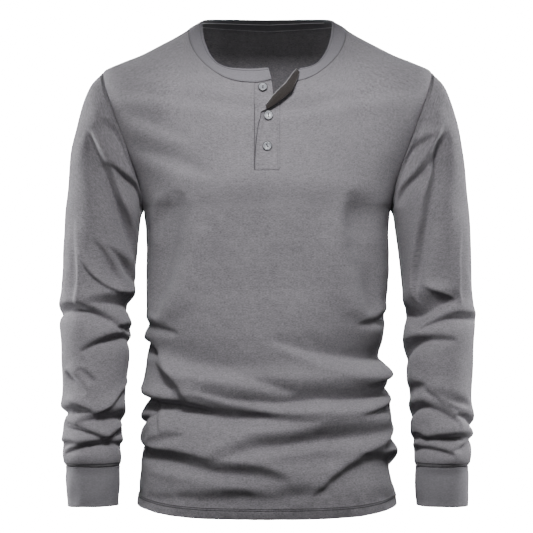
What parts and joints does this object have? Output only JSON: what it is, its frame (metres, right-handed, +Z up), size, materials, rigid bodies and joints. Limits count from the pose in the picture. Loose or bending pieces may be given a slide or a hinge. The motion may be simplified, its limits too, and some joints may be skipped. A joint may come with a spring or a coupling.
{
  "type": "long-sleeve henley shirt",
  "caption": "Long-sleeve jersey shirt with a round neckband, a part-open buttoned placket and ribbed cuffs, filled out as worn.",
  "frame": {"origin": "between the wearer's shoulders at the height of the side of the neck seam, where the shoulders carry the shirt", "axes": "+Z up along the standing wearer, -Y is the way the wearer looks, +X is the wearer's left"},
  "size_m": [0.6029, 0.2444, 0.7182],
  "materials": {
    "jersey": "fine matt cotton jersey, grey",
    "placket_jersey": "doubled grey cotton jersey with topstitched edges",
    "neckband_jersey": "doubled grey cotton jersey band",
    "cuff_rib": "doubled grey ribbed cotton",
    "button_resin": "pale grey polished resin, two holes"
  },
  "bodies": {
    "root": {"front": "jersey", "back": "jersey", "sleeve_right": "jersey", "sleeve_left": "jersey", "cuff_right": "cuff_rib", "cuff_left": "cuff_rib", "neckband": "neckband_jersey", "placket_over": "placket_jersey", "placket_under": "placket_jersey", "button_top": "button_resin", "button_middle": "button_resin", "button_bottom": "button_resin"}
  },
  "joints": []
}
